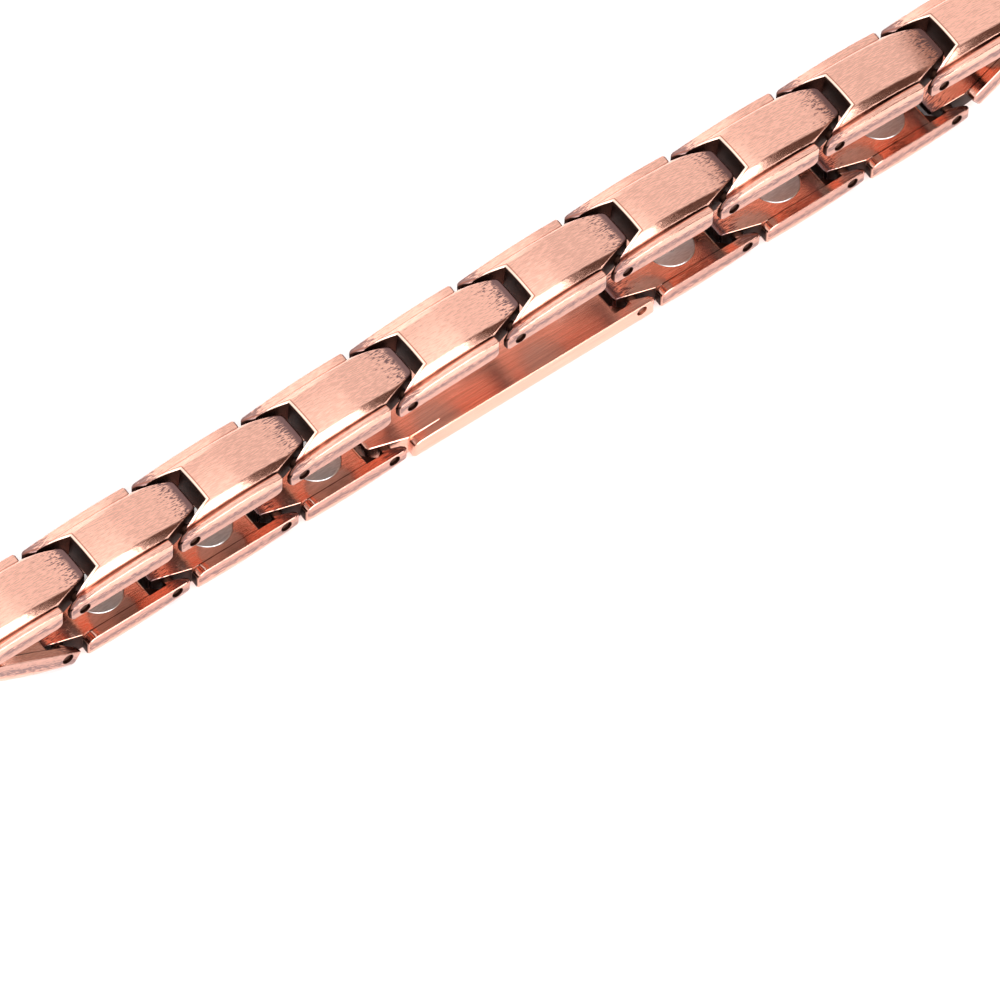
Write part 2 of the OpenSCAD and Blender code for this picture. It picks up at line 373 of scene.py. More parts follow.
def border_of(across, along):
    """Row and column of each point of a grid's border, once round."""
    border = [(0, j) for j in range(along)] + [(i, along - 1) for i in range(1, across)]
    border += [(across - 1, j) for j in range(along - 2, -1, -1)]
    return border + [(i, 0) for i in range(across - 2, 0, -1)]


def body_mesh(length, crowned, spans):
    """The closed body of a chain piece, without its bores."""
    bm = bmesh.new()
    top, foot = [], []
    for row in rows_across():
        line = places_along(row[0], length, spans)
        top.append([bm.verts.new(top_point(x, row, inset, crowned)) for x, inset in line])
        foot.append([bm.verts.new(point) for point in foot_points(line, row[0], length)])
    for i in range(len(top) - 1):
        for j in range(len(top[0]) - 1):
            bm.faces.new((top[i][j], top[i][j + 1], top[i + 1][j + 1], top[i + 1][j]))
            bm.faces.new((foot[i][j], foot[i + 1][j], foot[i + 1][j + 1], foot[i][j + 1]))
    border = border_of(len(top), len(top[0]))
    wall = []
    for i, j in border:
        v = top[i][j].co
        x = left_edge(v.y, 0.0, NOTCH_FOOT) if j == 0 else v.x
        wall.append(bm.verts.new((x, v.y, foot_height(x, v.y, length) + FOOT_R)))
    for k, (i, j) in enumerate(border):
        n = (k + 1) % len(border)
        i2, j2 = border[n]
        bm.faces.new((top[i][j], wall[k], wall[n], top[i2][j2]))
        bm.faces.new((wall[k], foot[i][j], foot[i2][j2], wall[n]))
    return bm


def as_object(bm, name):
    """An object in the scene from a finished bmesh, with its faces turned outwards."""
    mesh = bpy.data.meshes.new(name)
    bmesh.ops.recalc_face_normals(bm, faces=bm.faces)
    bm.to_mesh(mesh)
    bm.free()
    thing = bpy.data.objects.new(name, mesh)
    bpy.context.scene.collection.objects.link(thing)
    return thing


link_body = as_object(body_mesh(PITCH, True, LINK_SPANS), "link_body")
clasp_body = as_object(body_mesh(CLASP_LENGTH, False, CLASP_SPANS), "clasp_body")
print("faces of a link's body:", len(link_body.data.polygons))

# %% [markdown]
# ## Bores, pocket and relief
# What is cut out of the real link's body is taken out here with a boolean: the two cross bores, the
# round pocket for the magnet, and the wedge under the ears that gives room to a folded neighbour.

# %% Cutters
BORE_R = 0.48
BORE_SIDES = 40
MAGNET_R = 2.0
MAGNET_T = 1.0
MAGNET_X = 5.2
MAGNET_CLEAR = 0.05
MAGNET_SIDES = 64
RELIEF_CLEAR = 0.1
RELIEF_SIDE = 0.08
RELIEF_X = 0.5
RELIEF_LEAN = 15
# how far a cutter reaches past the body, so that no two faces lie in one plane
PAST = 1.0
SIDEWAYS = Matrix.Rotation(math.radians(90), 4, "X")


def round_bar(bm, centre, radius, height, turn, sides):
    """A cylinder of that radius and height about its centre, turned by a matrix."""
    place = Matrix.Translation(centre) @ turn
    bmesh.ops.create_cone(bm, cap_ends=True, segments=sides, radius1=radius, radius2=radius,
                          depth=height, matrix=place)


def relief_wedge(bm):
    """The wedge along the underside of a link that is folded back on this one."""
    turn = math.radians(STEPS[0]["heading"] + 180 - STEPS[-1]["heading"])
    lean = math.tan(math.radians(RELIEF_LEAN))
    offset_z = PIN_H + RELIEF_CLEAR + PIN_H * math.cos(turn)
    far_x = (offset_z + PAST * math.cos(turn)) / math.sin(turn)
    top_z = (offset_z - RELIEF_X * math.sin(turn)) / (math.cos(turn) + lean * math.sin(turn))
    corners = [(RELIEF_X - PAST * lean, -PAST), (far_x, -PAST), (RELIEF_X + top_z * lean, top_z)]
    half = PLATE_HW + RELIEF_SIDE
    near, far = [[bm.verts.new((x, y, z)) for x, z in corners] for y in (-half, half)]
    bm.faces.new(near)
    bm.faces.new(list(reversed(far)))
    for k in range(len(corners)):
        n = (k + 1) % len(corners)
        bm.faces.new((near[n], near[k], far[k], far[n]))


def drill_cutter(length, with_pocket):
    """All that is taken out of a body of that length, as one object."""
    bm = bmesh.new()
    relief_wedge(bm)
    for x in (0.0, length):
        round_bar(bm, (x, 0, PIN_H), BORE_R, 2 * (LINK_HW + PAST), SIDEWAYS, BORE_SIDES)
    if with_pocket:
        depth = MAGNET_T + MAGNET_CLEAR + PAST
        centre = (MAGNET_X, 0, MAGNET_T + MAGNET_CLEAR - depth / 2)
        round_bar(bm, centre, MAGNET_R + MAGNET_CLEAR, depth, Matrix.Identity(4), MAGNET_SIDES)
    return as_object(bm, "drill_cutter")


def cut(body, cutter):
    """Takes the cutter out of the body and leaves a plain mesh. The cutter is thrown away."""
    modifier = body.modifiers.new(cutter.name, "BOOLEAN")
    modifier.operation = "DIFFERENCE"
    modifier.solver = "EXACT"
    modifier.object = cutter
    seen = body.evaluated_get(bpy.context.evaluated_depsgraph_get())
    mesh = bpy.data.meshes.new_from_object(seen)
    bpy.data.objects.remove(cutter)
    body.modifiers.clear()
    body.data = mesh


cut(link_body, drill_cutter(PITCH, True))
cut(clasp_body, drill_cutter(CLASP_LENGTH, False))
print("faces of a cut link:", len(link_body.data.polygons))

# %% [markdown]
# ## Where a point is on its own link
# Grain, patina and the painted light and shade belong to the link, not to the room. Each point
# therefore keeps its place on its own link in an attribute called place, in millimetres. It stays
# with the point when the link is turned and carried to its place in the chain.

# %% Store the places
SHARP_DEG = 32


def keep_place(thing, drop):
    """Stores each point's place, then moves the mesh so that its first pin is at the origin."""
    mesh = thing.data
    place = mesh.attributes.new("place", "FLOAT_VECTOR", "POINT")
    place.data.foreach_set("vector", [c for v in mesh.vertices for c in v.co])
    mesh.transform(Matrix.Scale(MM, 4) @ Matrix.Translation((0, 0, -drop)))
    mesh.shade_smooth()
    mesh.set_sharp_from_angle(angle=math.radians(SHARP_DEG))


keep_place(link_body, PIN_H)
keep_place(clasp_body, PIN_H)
print("points with a place:", len(link_body.data.vertices), len(clasp_body.data.vertices))

# %% [markdown]
# ## Pins and magnets
# A pin is a plain bar with a small chamfer at each end. A magnet is a disc with a turned edge. Both
# are lathe work, so they are made from a profile that is spun round an axis.

# %% Turned pieces
PIN_CLEAR = 0.03
PIN_RECESS = 0.2
PIN_SIDES = 28
CHAMFER = 0.06


def turned(name, profile, sides, turn):
    """A closed round body from a profile of (radius, height) points, turned by a matrix."""
    bm = bmesh.new()
    rings = []
    for radius, height in profile:
        ring = []
        for k in range(sides):
            a = 2 * math.pi * k / sides
            ring.append(bm.verts.new((radius * math.cos(a), radius * math.sin(a), height)))
        rings.append(ring)
    for low, high in zip(rings, rings[1:]):
        for k in range(sides):
            n = (k + 1) % sides
            bm.faces.new((low[k], low[n], high[n], high[k]))
    bm.faces.new(list(reversed(rings[0])))
    bm.faces.new(rings[-1])
    bmesh.ops.transform(bm, matrix=turn, verts=bm.verts)
    return as_object(bm, name)


pin_r, pin_half = BORE_R - PIN_CLEAR, LINK_HW - PIN_RECESS
pin_profile = [(pin_r - CHAMFER, -pin_half), (pin_r, CHAMFER - pin_half),
               (pin_r, pin_half - CHAMFER), (pin_r - CHAMFER, pin_half)]
pin_bar = turned("pin_bar", pin_profile, PIN_SIDES, SIDEWAYS)
keep_place(pin_bar, 0)
magnet_profile = [(MAGNET_R - CHAMFER, 0.0), (MAGNET_R, CHAMFER), (MAGNET_R, MAGNET_T)]
to_pocket = Matrix.Translation((MAGNET_X, 0, 0))
magnet_disc = turned("magnet_disc", magnet_profile, MAGNET_SIDES, to_pocket)
keep_place(magnet_disc, PIN_H)
print("faces of a pin and a magnet:", len(pin_bar.data.polygons), len(magnet_disc.data.polygons))

# %% [markdown]
# ## A tree that repeats a piece
# The chain is a row of points, each with its heading. A Geometry Nodes tree puts one copy of a piece
# on each point, turns it by the heading and gives every copy its own tone, drawn with a fixed seed.
# It ends in real geometry with a material, because an export knows nothing of instances.

# %% The chain tree
def chain_tree():
    tree = bpy.data.node_groups.new("pieces_along_chain", "GeometryNodeTree")
    for name, kind in (("Chain", "Geometry"), ("Piece", "Object"), ("Tone seed", "Int"),
                       ("Finish", "Material")):
        tree.interface.new_socket(name, in_out="INPUT", socket_type="NodeSocket" + kind)
    tree.interface.new_socket("Pieces", in_out="OUTPUT", socket_type="NodeSocketGeometry")
    new, join = tree.nodes.new, tree.links.new
    inputs, output = new("NodeGroupInput"), new("NodeGroupOutput")
    points = new("GeometryNodeMeshToPoints")
    info = new("GeometryNodeObjectInfo")
    heading = new("GeometryNodeInputNamedAttribute")
    heading.data_type = "FLOAT_VECTOR"
    heading.inputs["Name"].default_value = "turn"
    place = new("GeometryNodeInstanceOnPoints")
    tone = new("FunctionNodeRandomValue")
    tone.data_type = "FLOAT"
    store = new("GeometryNodeStoreNamedAttribute")
    store.data_type = "FLOAT"
    store.domain = "INSTANCE"
    store.inputs["Name"].default_value = "tone"
    realize, finish = new("GeometryNodeRealizeInstances"), new("GeometryNodeSetMaterial")
    join(inputs.outputs["Chain"], points.inputs["Mesh"])
    join(inputs.outputs["Piece"], info.inputs["Object"])
    join(points.outputs[0], place.inputs["Points"])
    join(info.outputs["Geometry"], place.inputs["Instance"])
    join(heading.outputs["Attribute"], place.inputs["Rotation"])
    join(inputs.outputs["Tone seed"], tone.inputs["Seed"])
    join(place.outputs[0], store.inputs["Geometry"])
    join(tone.outputs[1], store.inputs["Value"])
    join(store.outputs[0], realize.inputs["Geometry"])
    join(realize.outputs[0], finish.inputs["Geometry"])
    join(inputs.outputs["Finish"], finish.inputs["Material"])
    join(finish.outputs[0], output.inputs["Pieces"])
    return tree


CHAIN_TREE = chain_tree()
print("chain tree:", len(CHAIN_TREE.nodes), "nodes")

# %% [markdown]
# ## Running the tree
# The points are made from the steps of the ring. The tree runs on them as a modifier, whose inputs
# are set by the sockets' identifiers. Its result is kept as a plain mesh, and the single piece that
# was copied is no longer needed.

# %% Copies along the chain
TONE_SEED = 7


def along_chain(name, piece, steps, finish, seed):
    """One mesh of copies of a piece at those steps of the chain. The single piece is thrown away."""
    mesh = bpy.data.meshes.new(name + "_points")
    mesh.from_pydata([(s["pin"][0] * MM, 0, s["pin"][1] * MM) for s in steps], [], [])
    turn = mesh.attributes.new("turn", "FLOAT_VECTOR", "POINT")
    turn.data.foreach_set("vector", [c for s in steps for c in (0, -math.radians(s["heading"]), 0)])
    row = bpy.data.objects.new(name, mesh)
    bpy.context.scene.collection.objects.link(row)
    modifier = row.modifiers.new("chain", "NODES")
    modifier.node_group = CHAIN_TREE
    values = {"Piece": piece, "Tone seed": seed, "Finish": finish}
    for item in CHAIN_TREE.interface.items_tree:
        if item.in_out == "INPUT" and item.name in values:
            modifier[item.identifier] = values[item.name]
    seen = row.evaluated_get(bpy.context.evaluated_depsgraph_get())
    made = bpy.data.meshes.new_from_object(seen)
    row.modifiers.clear()
    row.data = made
    made.name = name
    bpy.data.objects.remove(piece)
    print(name, "copies:", len(steps), "faces:", len(made.polygons))
    return row


print("tones are drawn from seed", TONE_SEED)

# %% [markdown]
# ## Nodes as short sums
# A finish is a set of sums over the place on the link. Writing them node by node is long, so a small
# helper adds one Math node and hands back its output. The formulas below then read almost like text.

# %% Helpers for the sums
def feed(tree, socket, value):
    """Sets a socket to a plain value, or joins another node's output to it."""
    if isinstance(value, bpy.types.NodeSocket):
        tree.links.new(value, socket)
    else:
        socket.default_value = value


def maths(tree, operation, *values):
    """Adds one Math node with those inputs, numbers or outputs, and returns its output."""
    node = tree.nodes.new("ShaderNodeMath")
    node.operation = operation
    for socket, value in zip(node.inputs, values):
        feed(tree, socket, value)
    return node.outputs[0]


def vector_maths(tree, operation, *values):
    """The same for a Vector Math node, with triples or outputs."""
    node = tree.nodes.new("ShaderNodeVectorMath")
    node.operation = operation
    for socket, value in zip(node.inputs, values):
        feed(tree, socket, value)
    return node.outputs[0]


def fade(tree, value, start, end):
    """1 before start and 0 past end, with a soft step between. The span may also run downwards."""
    node = tree.nodes.new("ShaderNodeMapRange")
    node.interpolation_type = "SMOOTHSTEP"
    node.inputs["From Min"].default_value = start
    node.inputs["From Max"].default_value = end
    node.inputs["To Min"].default_value = 1.0
    node.inputs["To Max"].default_value = 0.0
    tree.links.new(value, node.inputs["Value"])
    return node.outputs[0]


def blend(tree, share, low, high):
    """Mixes two colours by a share. Each colour is a tuple or another node's output."""
    node = tree.nodes.new("ShaderNodeMix")
    node.data_type = "RGBA"
    tree.links.new(share, node.inputs["Factor"])
    # the node has sockets A and B for numbers and vectors too, and only the coloured ones count
    sockets = [i for i in node.inputs if i.type == "RGBA"]
    for socket, colour in zip(sockets, (low, high)):
        feed(tree, socket, (*colour, 1.0) if isinstance(colour, tuple) else colour)
    return [o for o in node.outputs if o.type == "RGBA"][0]


print("node helpers ready")

# %% [markdown]
# ## Groups that several finishes share
# Grain is on every piece, and patina with painted light and shade on every link. Each is a shader
# group, built once, with named inputs and outputs. A group hands out masks and heights only, and the
# material decides on colours.

# %% Helpers for groups
def shader_group(name, inputs, outputs):
    """An empty shader group with named inputs (name, kind, value) and outputs (name, kind)."""
    tree = bpy.data.node_groups.new(name, "ShaderNodeTree")
    for title, kind, value in inputs:
        socket = tree.interface.new_socket(title, in_out="INPUT", socket_type="NodeSocket" + kind)
        if value is not None:
            socket.default_value = value
    for title, kind in outputs:
        tree.interface.new_socket(title, in_out="OUTPUT", socket_type="NodeSocket" + kind)
    return tree, tree.nodes.new("NodeGroupInput").outputs, tree.nodes.new("NodeGroupOutput").inputs


def use(tree, group, values):
    """Places a shader group in a material and feeds its named inputs."""
    node = tree.nodes.new("ShaderNodeGroup")
    node.node_tree = group
    for name, value in values.items():
        feed(tree, node.inputs[name], value)
    return node.outputs


print("group helpers ready")

# %% [markdown]
# ## Brushed grain
# Brushing leaves fine scratches that all run one way. Noise that is stretched along the link and
# squeezed across it gives both things that the eye reads: small heights, which spread a highlight
# across the scratches only, and streaks of slightly darker and lighter metal.

# %% The grain group
NOISE_DETAIL = 1.0
# how far the tone of a copy moves its grain, along each axis, so that no two copies look the same
TONE_SHIFT = (37.0, 91.0, 53.0)
BROAD_SCALE = (0.5, 0.22, 0.22)
BROAD_HEIGHT = 0.8


def triple(tree, values):
    """One vector from three numbers or outputs."""
    node = tree.nodes.new("ShaderNodeCombineXYZ")
    for socket, value in zip(node.inputs, values):
        feed(tree, socket, value)
    return node.outputs[0]


def noise(tree, vector):
    node = tree.nodes.new("ShaderNodeTexNoise")
    node.inputs["Scale"].default_value = 1.0
    node.inputs["Detail"].default_value = NOISE_DETAIL
    tree.links.new(vector, node.inputs["Vector"])
    return node.outputs[0]


def grain_group():
    tree, given, out = shader_group(
        "brushed_grain",
        [("Place", "Vector", None), ("Tone", "Float", 0.0), ("Streak length", "Float", 0.7),
         ("Streak width", "Float", 0.08)],
        [("Height", "Float"), ("Streaks", "Float"), ("Broad streaks", "Float")])
    shift = triple(tree, [maths(tree, "MULTIPLY", given["Tone"], by) for by in TONE_SHIFT])
    along = maths(tree, "DIVIDE", 1.0, given["Streak length"])
    over = maths(tree, "DIVIDE", 1.0, given["Streak width"])
    scale = triple(tree, (along, over, over))
    fine = vector_maths(tree, "MULTIPLY_ADD", given["Place"], scale, shift)
    streaks = noise(tree, fine)
    broad = noise(tree, vector_maths(tree, "MULTIPLY", fine, BROAD_SCALE))
    height = maths(tree, "ADD", streaks, maths(tree, "MULTIPLY", broad, BROAD_HEIGHT))
    for name, value in (("Height", height), ("Streaks", streaks), ("Broad streaks", broad)):
        tree.links.new(value, out[name])
    return tree


GRAIN = grain_group()
print("grain group:", len(GRAIN.nodes), "nodes")

# %% [markdown]
# ## Distances from the link's own lines
# Copper darkens where no cloth reaches, and painted shade darkens the same places: in the notch,
# beside the tongue, in the groove and in the bores. The rim of the notch gets a painted highlight.
# Both follow from the distance to the link's own lines, which is worked out here from the place on
# the link, so every copy gets them in the same spot.

# %% Distances
RAIL_STEP = 0.02
FAR_OFF = 9.0


def notch_distance(tree, x, y, z):
    """Distance from the notch's leaning end wall and its slanted flank, below 0 inside the notch."""
    lean = (NOTCH_DEPTH - NOTCH_FOOT) / PLATE_TOP
    wall_x = maths(tree, "ADD", maths(tree, "MULTIPLY", z, lean), NOTCH_FOOT)
    from_wall = maths(tree, "SUBTRACT", x, maths(tree, "MINIMUM", wall_x, NOTCH_DEPTH))
    flank_y = maths(tree, "SUBTRACT", NOTCH_IN_HW + NOTCH_FLARE * NOTCH_DEPTH,
                    maths(tree, "MULTIPLY", x, NOTCH_FLARE))
    from_flank = maths(tree, "DIVIDE", maths(tree, "SUBTRACT", y, flank_y), math.hypot(1, NOTCH_FLARE))
    return maths(tree, "MAXIMUM", from_wall, from_flank)


def tongue_distances(tree, x, y, rail_x, tip_x):
    """Distances inside the tongue's tip, inside its slanted side, and inside the nearer of the two."""
    in_tip = maths(tree, "SUBTRACT", tip_x, x)
    side_y = maths(tree, "SUBTRACT", PLATE_HW + TONGUE_SLOPE * rail_x,
                   maths(tree, "MULTIPLY", x, TONGUE_SLOPE))
    in_side = maths(tree, "DIVIDE", maths(tree, "SUBTRACT", side_y, y), math.hypot(1, TONGUE_SLOPE))
    # the slanted side only counts past the end of the rails
    before_rail_end = fade(tree, x, rail_x - RAIL_STEP, rail_x + RAIL_STEP)
    free_side = maths(tree, "ADD", in_side, maths(tree, "MULTIPLY", before_rail_end, FAR_OFF))
    return in_tip, in_side, maths(tree, "MINIMUM", in_tip, free_side)


print("notch's flare and tongue's slope:", round(NOTCH_FLARE, 3), round(TONGUE_SLOPE, 3))

# %% [markdown]
# ## Crevices and the groove
# The darkest places hold patina where no polishing reaches, and painted shade: the walls of the
# notch, the tongue's flanks, the ends of the rails, the bores, the rounded ends of the ears and the
# relief below them. The groove is darkened the same way, with a ragged edge, and it widens a little
# towards the tongue.

# %% Dark marks
# a pair gives where a mark is full and where it ends, in millimetres from its line
WALL_FADE = (0.012, 0.05)
RAIL_END_ACROSS = (-0.03, 0.02)
RAIL_END_ALONG = (0.03, 0.12)
BORE_FADE = (BORE_R + 0.01, BORE_R + 0.06)
EAR_SLANT = 0.3
EAR_SLANT_X = 0.6
EAR_TIP = 0.1
EAR_FADE = (0.0, 0.12)
RELIEF_ACROSS = (PLATE_HW + 0.085, PLATE_HW + 0.12)
RELIEF_ALONG = (2.1, 2.2)
RELIEF_MIDDLE = 0.5
RELIEF_HEIGHT = (0.45, 0.48)
GROOVE_MIDDLE = PLATE_HW + 0.01
GROOVE_RAGGED = 0.05
GROOVE_WIDENS = 0.004
GROOVE_FADE = (-0.01, 0.045)
GROOVE_DARK = 0.9


def ear_and_relief(tree, x, y, z, from_notch):
    """The ends of the ears with their inner sides, and the relief under them."""
    slant = maths(tree, "MULTIPLY", maths(tree, "ADD", x, EAR_SLANT_X), EAR_SLANT)
    ear_edge = maths(tree, "MINIMUM", maths(tree, "ADD", from_notch, slant),
                     maths(tree, "ADD", x, EAR_REACH - EAR_TIP))
    off_relief = maths(tree, "ABSOLUTE", maths(tree, "SUBTRACT", z, RELIEF_MIDDLE))
    under = maths(tree, "MULTIPLY", fade(tree, y, *RELIEF_ACROSS), fade(tree, x, *RELIEF_ALONG))
    under = maths(tree, "MULTIPLY", under, fade(tree, off_relief, *RELIEF_HEIGHT))
    return fade(tree, ear_edge, *EAR_FADE), under


# patina and painted shade: nearly black on the notch walls, rail ends, bores, ear ends and in the relief
def crevices(tree, x, y, z, from_notch, in_side, rail_x, walls):
    """All the nearly black places."""
    rail_end = maths(tree, "MULTIPLY", fade(tree, in_side, *RAIL_END_ACROSS),
                     fade(tree, maths(tree, "SUBTRACT", rail_x, x), *RAIL_END_ALONG))
    pin_z = maths(tree, "SUBTRACT", z, PIN_H)
    from_pin_squared = maths(tree, "ADD", maths(tree, "MULTIPLY", x, x),
                             maths(tree, "MULTIPLY", pin_z, pin_z))
    in_bore = fade(tree, from_pin_squared, *(r**2 for r in BORE_FADE))
    deep = walls
    for mask in (rail_end, in_bore, *ear_and_relief(tree, x, y, z, from_notch)):
        deep = maths(tree, "MAXIMUM", deep, mask)
    return deep


# patina and painted shade along the groove
def groove(tree, x, y, broad):
    """The line of the groove between plate and rail."""
    off_middle = maths(tree, "ABSOLUTE", maths(tree, "SUBTRACT", y, GROOVE_MIDDLE))
    ragged = maths(tree, "ADD", off_middle, maths(tree, "MULTIPLY", broad, GROOVE_RAGGED))
    wide = maths(tree, "SUBTRACT", ragged, maths(tree, "MULTIPLY", x, GROOVE_WIDENS))
    return maths(tree, "MULTIPLY", fade(tree, wide, *GROOVE_FADE), GROOVE_DARK)


print("dark walls up to, mm:", WALL_FADE[1], "groove's middle, mm:", round(GROOVE_MIDDLE, 2))

# %% [markdown]
# ## Smoke, painted reflection and painted highlight
# A smoky tint covers the tongue's tip with a streaked border, and the ears. A painted reflection
# tints the side faces grey, most of all in a band along them. The rim round the notch gets a painted
# highlight, and a thin brown line follows it on the plate.

# %% Tints and rims
TIP_RAGGED = 8.0
TIP_STREAKS = (0.5, 1.0)
TIP_SOLID = (0.42, 0.9)
EAR_RAGGED = 4.0
EAR_SMOKE_FADE = (-0.4, 1.2)
EAR_SMOKE = 0.9
SIDE_FADE = (LINK_HW - 0.03, LINK_HW - 0.1)
SIDE_TOP_FADE = (1.35, 1.5)
SIDE_REFLECTION = 0.4
BAND_Z = 0.95
BAND_RAGGED = 1.6
BAND_FADE = (0.1, 0.35)
BAND_REFLECTION = 0.55
RIM_FROM_X = (0.3, 0.8)
RIM_FADE = (0.16, 0.2)
LINE_AT = 0.25
LINE_FADE = (0.015, 0.07)


def smoke_and_reflection(tree, x, y, z, in_tip, streaks):
    """The smoky tint of the tongue's tip and the ears, and the painted reflection on the side faces."""
    ragged_tip = maths(tree, "ADD", in_tip, maths(tree, "MULTIPLY", streaks, TIP_RAGGED))
    tip = maths(tree, "MAXIMUM", fade(tree, ragged_tip, *TIP_STREAKS), fade(tree, in_tip, *TIP_SOLID))
    on_side = fade(tree, y, *SIDE_FADE)
    ragged_ear = maths(tree, "ADD", x, maths(tree, "MULTIPLY", streaks, EAR_RAGGED))
    ears = maths(tree, "MULTIPLY", fade(tree, ragged_ear, *EAR_SMOKE_FADE), EAR_SMOKE)
    ears = maths(tree, "MULTIPLY", ears, maths(tree, "SUBTRACT", 1.0, on_side))
    # painted reflection: a grey tint over the flat side faces, strongest in a ragged band
    band_z = maths(tree, "ADD", maths(tree, "SUBTRACT", z, BAND_Z),
                   maths(tree, "MULTIPLY", streaks, BAND_RAGGED))
    band = maths(tree, "MULTIPLY", fade(tree, maths(tree, "ABSOLUTE", band_z), *BAND_FADE), BAND_REFLECTION)
    flat_side = maths(tree, "MULTIPLY", on_side, fade(tree, z, *SIDE_TOP_FADE))
    side = maths(tree, "MULTIPLY", maths(tree, "ADD", band, SIDE_REFLECTION), flat_side)
    return maths(tree, "MAXIMUM", maths(tree, "MAXIMUM", tip, ears), side)


def rim_highlight_and_line(tree, x, from_notch, walls):
    """The painted highlight on the rim round the notch, and the brown line beside it."""
    # painted highlight: pale copper along the rim of the notch, kept off its walls and off the ears
    near = maths(tree, "MULTIPLY", fade(tree, from_notch, *RIM_FADE), maths(tree, "SUBTRACT", 1.0, walls))
    rim = maths(tree, "MULTIPLY", near, maths(tree, "SUBTRACT", 1.0, fade(tree, x, *RIM_FROM_X)))
    off_line = maths(tree, "ABSOLUTE", maths(tree, "SUBTRACT", from_notch, LINE_AT))
    return rim, fade(tree, off_line, *LINE_FADE)


print("smoke at the tip up to, mm:", TIP_SOLID[1], "bright rim up to, mm:", RIM_FADE[1])

# %% [markdown]
# ## Patina and painted light in one group
# All marks come together in one group. It takes the place on the link and the two kinds of streaks,
# which make the borders ragged, and hands out one mask for each mark.

# %% Patina and painted light in one group
NOISE_MIDDLE = 0.5


def patina_and_light_group(length):
    tree, given, out = shader_group(
        "patina_and_painted_light",
        [("Place", "Vector", None), ("Streaks", "Float", NOISE_MIDDLE),
         ("Broad streaks", "Float", NOISE_MIDDLE)],
        [("Crevice", "Float"), ("Groove", "Float"), ("Smoke and reflection", "Float"), ("Rim highlight", "Float"),
         ("Beside rim", "Float")])
    axes = tree.nodes.new("ShaderNodeSeparateXYZ")
    tree.links.new(given["Place"], axes.inputs[0])
    x, z = axes.outputs["X"], axes.outputs["Z"]
    y = maths(tree, "ABSOLUTE", axes.outputs["Y"])
    streaks = maths(tree, "SUBTRACT", given["Streaks"], NOISE_MIDDLE)
    broad = maths(tree, "SUBTRACT", given["Broad streaks"], NOISE_MIDDLE)
    rail_x = length - RAIL_GAP
    from_notch = notch_distance(tree, x, y, z)
    in_tip, in_side, in_tongue = tongue_distances(tree, x, y, rail_x, length + TONGUE_REACH)
    walls = fade(tree, maths(tree, "MINIMUM", from_notch, in_tongue), *WALL_FADE)
    rim, beside_rim = rim_highlight_and_line(tree, x, from_notch, walls)
    marks = {"Crevice": crevices(tree, x, y, z, from_notch, in_side, rail_x, walls),
             "Groove": groove(tree, x, y, broad), "Smoke and reflection": smoke_and_reflection(tree, x, y, z, in_tip, streaks),
             "Rim highlight": rim, "Beside rim": beside_rim}
    for name, mask in marks.items():
        tree.links.new(mask, out[name])
    return tree


PATINA_AND_LIGHT = patina_and_light_group(PITCH)
print("patina group:", len(PATINA_AND_LIGHT.nodes), "nodes")

# %% [markdown]
# ## Copper for the links
# The base is a metal with copper's pink. Over it come the streaks, a small difference in tone from
# link to link, the smoky tint with a painted reflection on the side faces, the brown line, a painted
# highlight on the notch's rim, and the dark groove and nearly black crevices, which are patina and
# painted shade. Patina is also duller than the metal, so the same masks raise the roughness.

# %% Copper finishes
COPPER = (0.945, 0.51, 0.395)
HIGHLIGHT_COPPER = (1.0, 0.8, 0.66)
SMOKE_AND_REFLECTION = (0.22, 0.125, 0.12)
BROWN = (0.3, 0.085, 0.045)
PATINA_AND_SHADE_BROWN = (0.035, 0.012, 0.008)
PIN_BROWN = (0.14, 0.07, 0.05)
NICKEL = (0.56, 0.55, 0.54)
STREAKS_IN_TONE = 0.55
COPY_IN_TONE = 0.08
DARK_TONE = (0.2, 0.42)
DARK_SHARE = 0.8
DARKENING = 0.72
LINE_SHARE = 0.7
RIM_HIGHLIGHT_SHARE = 0.9
GRAIN_DULL = 0.06
SMOKE_AND_REFLECTION_DULL = 0.12
CREVICE_DULL = 0.4
GRAIN_DEPTH = 0.01


def attribute(tree, name, output):
    node = tree.nodes.new("ShaderNodeAttribute")
    node.attribute_name = name
    return node.outputs[output]


def with_patina_and_light(tree, place, grain, base, rough):
    """Lays the links' tarnish and painted light and shade over a metal's colour and roughness."""
    marks = use(tree, PATINA_AND_LIGHT, {"Place": place, "Streaks": grain["Streaks"],
                               "Broad streaks": grain["Broad streaks"]})
    # smoky tint of the tip and the ears, and painted reflection on the side faces
    base = blend(tree, marks["Smoke and reflection"], base, SMOKE_AND_REFLECTION)
    base = blend(tree, maths(tree, "MULTIPLY", marks["Beside rim"], LINE_SHARE), base, BROWN)
    # painted highlight on the rim of the notch
    base = blend(tree, maths(tree, "MULTIPLY", marks["Rim highlight"], RIM_HIGHLIGHT_SHARE), base, HIGHLIGHT_COPPER)
    # patina and painted shade in the groove and the crevices
    for name in ("Groove", "Crevice"):
        base = blend(tree, marks[name], base, PATINA_AND_SHADE_BROWN)
    for name, dull in (("Smoke and reflection", SMOKE_AND_REFLECTION_DULL), ("Crevice", CREVICE_DULL)):
        rough = maths(tree, "ADD", rough, maths(tree, "MULTIPLY", marks[name], dull))
    return base, rough


